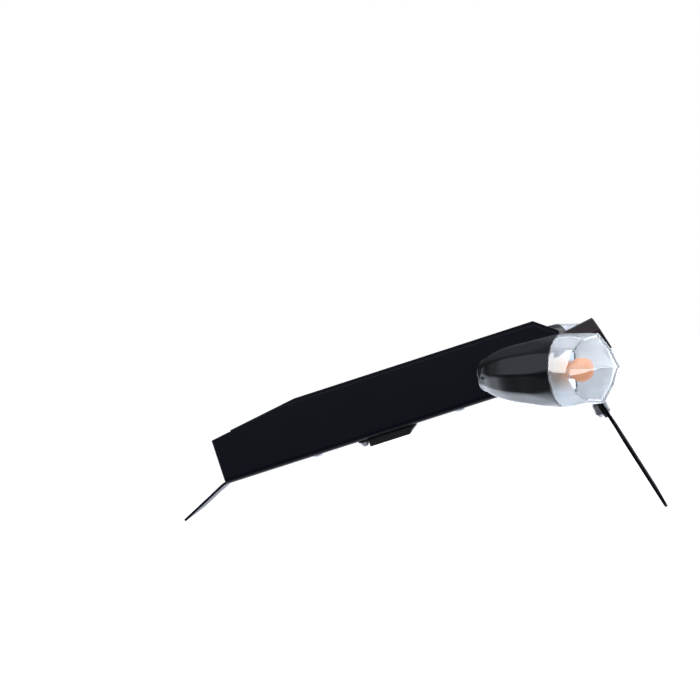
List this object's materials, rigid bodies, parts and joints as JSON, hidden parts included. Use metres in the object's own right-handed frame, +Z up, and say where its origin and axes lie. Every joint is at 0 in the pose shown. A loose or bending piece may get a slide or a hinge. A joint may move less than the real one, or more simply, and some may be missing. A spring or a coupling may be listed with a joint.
{
  "type": "motorbike tail tidy",
  "caption": "Folded steel under-tail tray with a raked number-plate hanger, a hooded plate lamp and faceted indicators with clear lenses.",
  "frame": {"origin": "middle of the four tail bolts, on the top faces of their spacers, which meet the tail", "axes": "+X rearward along the tray floor, +Y to the rider's right, +Z up, square to the tray floor; on the bike the floor rises about 18 degrees to the rear"},
  "size_m": [0.3692, 0.2838, 0.1657],
  "materials": {
    "tray_steel": "satin black powder coat on folded sheet",
    "bracket_steel": "satin black powder coat",
    "hanger_steel": "satin black powder coat",
    "hood_steel": "satin black powder coat",
    "guard_plastic": "satin black sheet",
    "zinc": "bright zinc plate",
    "lamp_plastic": "fine grained black",
    "board": "green solder mask",
    "led": "pale yellow phosphor",
    "lamp_clear": "clear moulded lens",
    "housing_plastic": "satin black moulding",
    "rubber": "matt black",
    "reflector": "bright metallised moulding",
    "brass": "plain",
    "amber_glass": "amber glass",
    "lens_clear": "clear faceted lens"
  },
  "bodies": {
    "root": {"under_tray": "tray_steel", "loom_guard": "guard_plastic", "guard_screws": "zinc", "rear_bracket": "bracket_steel", "plate_hanger": "hanger_steel", "hanger_bolts": "zinc", "hanger_nuts": "zinc", "neck_stiffener": "bracket_steel", "neck_screws": "zinc", "neck_nuts": "zinc", "lamp_hood": "hood_steel", "hood_screws": "zinc", "hood_nuts": "zinc", "lamp_body": "lamp_plastic", "lamp_board": "board", "lamp_leds": "led", "lamp_lens": "lamp_clear", "lamp_screws": "zinc", "tail_spacers": "zinc", "tail_bolts": "zinc", "tail_washers": "zinc", "loom_grommet": "rubber", "left_stalk": "rubber", "left_stalk_nut": "zinc", "left_stalk_washer": "zinc", "left_housing": "housing_plastic", "left_gasket": "rubber", "left_reflector": "reflector", "left_bulb_socket": "lamp_plastic", "left_bulb_cap": "brass", "left_bulb_globe": "amber_glass", "left_lens": "lens_clear", "right_stalk": "rubber", "right_stalk_nut": "zinc", "right_stalk_washer": "zinc", "right_housing": "housing_plastic", "right_gasket": "rubber", "right_reflector": "reflector", "right_bulb_socket": "lamp_plastic", "right_bulb_cap": "brass", "right_bulb_globe": "amber_glass", "right_lens": "lens_clear"}
  },
  "joints": []
}
